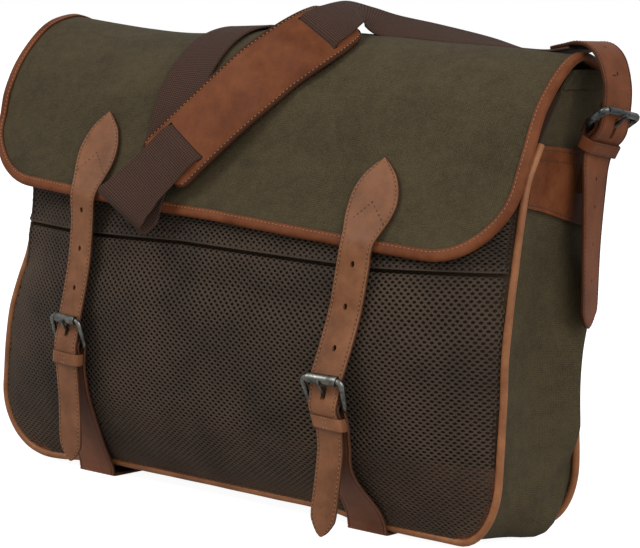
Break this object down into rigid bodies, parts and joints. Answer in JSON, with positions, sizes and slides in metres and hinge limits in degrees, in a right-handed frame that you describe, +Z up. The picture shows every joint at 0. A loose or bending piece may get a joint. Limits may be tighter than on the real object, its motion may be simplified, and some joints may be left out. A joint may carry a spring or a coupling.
{
  "type": "game bag",
  "caption": "Canvas game bag with a net front, a leather-bound flap held by buckled straps, and a webbing shoulder strap with a leather pad.",
  "frame": {"origin": "middle of the whole bag's box, on the surface that it stands on", "axes": "+X to the right seen from the net front, +Y from the front to the back, +Z up"},
  "size_m": [0.4978, 0.1896, 0.3612],
  "materials": {
    "canvas": "matt olive cotton canvas",
    "net": "dark brown open mesh",
    "leather": "waxed tan leather with some sheen",
    "webbing": "ribbed dark brown cotton webbing",
    "gunmetal": "antique gunmetal"
  },
  "bodies": {
    "root": {"net_pocket": "net", "net_band": "net", "front_panel": "canvas", "back_panel": "canvas", "gusset": "canvas", "front_piping": "leather", "back_piping": "leather", "flap": "canvas", "flap_binding": "leather", "closing_strap_left": "leather", "billet_left": "leather", "buckle_frame_left": "gunmetal", "buckle_roller_left": "gunmetal", "buckle_prong_left": "gunmetal", "keeper_left": "leather", "closing_strap_right": "leather", "billet_right": "leather", "buckle_frame_right": "gunmetal", "buckle_roller_right": "gunmetal", "buckle_prong_right": "gunmetal", "keeper_right": "leather", "side_patch_left": "leather", "side_patch_right": "leather", "side_chape": "leather", "side_strap": "leather", "side_buckle_frame": "gunmetal", "side_buckle_prong": "gunmetal", "side_keeper": "leather", "webbing": "webbing", "shoulder_pad": "leather"}
  },
  "joints": []
}
